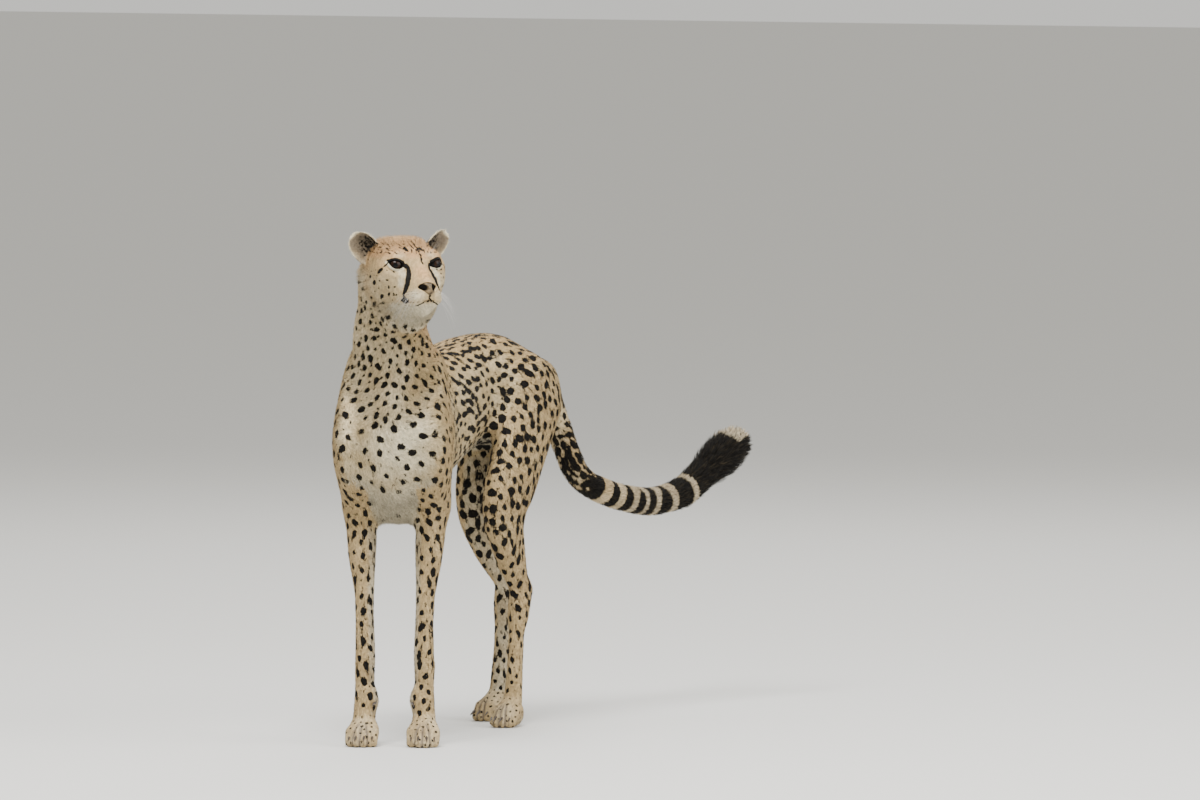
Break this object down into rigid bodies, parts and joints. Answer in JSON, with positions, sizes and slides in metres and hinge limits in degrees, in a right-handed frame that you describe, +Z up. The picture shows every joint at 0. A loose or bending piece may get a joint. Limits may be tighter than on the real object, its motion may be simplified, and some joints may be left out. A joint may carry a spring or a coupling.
{
  "type": "cheetah",
  "caption": "Life-size still model of a standing adult cheetah, head held high and turned left, long spotted tail out behind.",
  "frame": {"origin": "middle of the model's box on the ground that the soles stand on", "axes": "+X from the tail base to the breast, +Y to the animal's left, +Z up"},
  "size_m": [1.43, 0.404, 0.9991],
  "materials": {
    "coat": "short matt fur, sandy with solid black spots",
    "tail_coat": "short matt fur with black rings and a pale tip",
    "ear_coat": "short matt fur, dark with a pale rim",
    "eye": "wet gloss, dark amber",
    "nose": "fine-pebbled moist leather",
    "claw": "dark worn horn"
  },
  "bodies": {
    "root": {"chest": "coat", "claw_fore_left_1": "claw", "claw_fore_left_2": "claw", "claw_fore_left_3": "claw", "claw_fore_left_4": "claw", "claw_fore_left_5": "claw", "claw_fore_right_1": "claw", "claw_fore_right_2": "claw", "claw_fore_right_3": "claw", "claw_fore_right_4": "claw", "claw_fore_right_5": "claw", "claw_hind_left_1": "claw", "claw_hind_left_2": "claw", "claw_hind_left_3": "claw", "claw_hind_left_4": "claw", "claw_hind_right_1": "claw", "claw_hind_right_2": "claw", "claw_hind_right_3": "claw", "claw_hind_right_4": "claw", "ear_left": "ear_coat", "ear_right": "ear_coat", "eye_left": "eye", "eye_right": "eye", "fore_paw_left": "coat", "fore_paw_right": "coat", "forearm_left": "coat", "forearm_right": "coat", "head": "coat", "hind_paw_left": "coat", "hind_paw_right": "coat", "loin": "coat", "metatarsus_left": "coat", "metatarsus_right": "coat", "neck": "coat", "nose": "nose", "rump": "coat", "shin_left": "coat", "shin_right": "coat", "tail_1": "tail_coat", "tail_2": "tail_coat", "tail_3": "tail_coat", "tail_4": "tail_coat", "tail_5": "tail_coat", "thigh_left": "coat", "thigh_right": "coat", "upper_arm_left": "coat", "upper_arm_right": "coat"}
  },
  "joints": []
}
